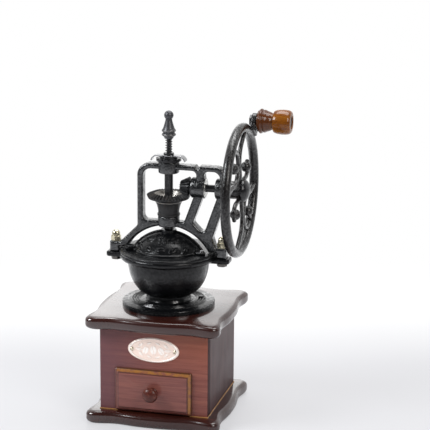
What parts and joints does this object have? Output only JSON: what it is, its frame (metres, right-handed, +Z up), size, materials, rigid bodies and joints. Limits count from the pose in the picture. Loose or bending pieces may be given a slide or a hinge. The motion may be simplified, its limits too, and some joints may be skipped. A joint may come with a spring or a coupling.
{
  "type": "hand crank coffee grinder",
  "caption": "Hand crank coffee grinder: cast mill with a spoked crank wheel and bevel gears on a wooden box with a drawer, its conical burrs set by a disc under a sprung lock plate.",
  "frame": {"origin": "centre of the base plate's underside", "axes": "+Z up, +X along the crank shaft towards the crank wheel, -Y towards the drawer"},
  "size_m": [0.1608, 0.1247, 0.2705],
  "materials": {
    "wood_dark": "glossy red-brown varnish",
    "wood_board": "glossy red-brown varnish",
    "wood_front": "glossy red-brown varnish",
    "wood_pale": "bare sanded wood",
    "wood_bead": "varnished golden wood",
    "wood_handle": "glossy amber varnish",
    "black_casting": "satin black enamel on a casting",
    "gear_casting": "rough black casting with worn tooth faces",
    "burr_steel": "dark hardened steel",
    "steel": "zinc-plated steel",
    "brass": "pale brass, polished",
    "yellow_zinc": "yellow zinc plating",
    "badge": "pale copper sheet with a raised rim"
  },
  "bodies": {
    "stand": {"base_plate": "wood_dark", "bead_strip": "wood_bead", "front_board": "wood_board", "back_board": "wood_board", "left_board": "wood_board", "right_board": "wood_board", "corner_blocks": "wood_pale", "top_plate": "wood_dark", "base_screws": "yellow_zinc", "drawer_rails": "wood_pale", "badge": "badge", "badge_rivets": "badge", "mill_body": "black_casting", "flange_screws": "black_casting", "ring_burr": "burr_steel", "dome": "black_casting", "dome_screws": "black_casting", "bridge": "black_casting", "bridge_bolts": "steel", "acorn_nuts": "brass"},
    "drawer": {"drawer_front": "wood_front", "drawer_sides": "wood_pale", "drawer_back": "wood_pale", "drawer_bottom": "wood_pale", "drawer_pull": "wood_front", "pull_screw": "yellow_zinc"},
    "door": {"hopper_door": "black_casting", "door_pull": "black_casting"},
    "gear": {"drive_gear": "gear_casting"},
    "spindle": {"spindle": "steel", "cone_burr": "burr_steel", "burr_nut": "steel", "finial": "black_casting", "lock_spring": "steel"},
    "adjuster": {"adjusting_disc": "black_casting"},
    "lock": {"lock_plate": "steel", "spring_collar": "black_casting"},
    "crank": {"crank_shaft": "steel", "pinion": "gear_casting", "pinion_key": "steel", "wheel": "black_casting", "wheel_nut": "black_casting", "handle_pin": "steel", "handle_nut": "steel"},
    "handle": {"handle": "wood_handle"}
  },
  "joints": [
    {"name": "crank_spin", "type": "hinge", "parent": "stand", "child": "crank", "pos_m": [0.048, 0, 0.2038], "axis": [1, 0, 0], "continuous": true},
    {"name": "handle_spin", "type": "hinge", "parent": "crank", "child": "handle", "pos_m": [0.086, 0.03691, 0.25852], "axis": [1, 0, 0], "continuous": true},
    {"name": "gear_spin", "type": "hinge", "parent": "stand", "child": "gear", "pos_m": [0, 0, 0.19], "axis": [0, 0, 1], "continuous": true},
    {"name": "adjust_turn", "type": "hinge", "parent": "gear", "child": "adjuster", "pos_m": [0, 0, 0.228], "axis": [0, 0, 1], "range_deg": [-185, 365]},
    {"name": "spindle_lift", "type": "slide", "parent": "gear", "child": "spindle", "axis": [0, 0, 1], "range_m": [-0.001, 0.0005]},
    {"name": "lock_lift", "type": "slide", "parent": "gear", "child": "lock", "axis": [0, 0, 1], "range_m": [0, 0.004], "stiffness_N_per_m": 200, "springref_m": -0.015, "deforming": ["lock_spring"]},
    {"name": "door_turn", "type": "hinge", "parent": "stand", "child": "door", "pos_m": [0, 0, 0.15], "axis": [0, 0, 1], "range_deg": [-140, 0]},
    {"name": "drawer_slide", "type": "slide", "parent": "stand", "child": "drawer", "axis": [0, -1, 0], "range_m": [0, 0.07]}
  ],
  "couplings": [
    {"joint": "gear_spin", "follows": "crank_spin", "ratio": 0.44444},
    {"joint": "adjust_turn", "follows": "spindle_lift", "rad_per_m": -6283.2}
  ]
}
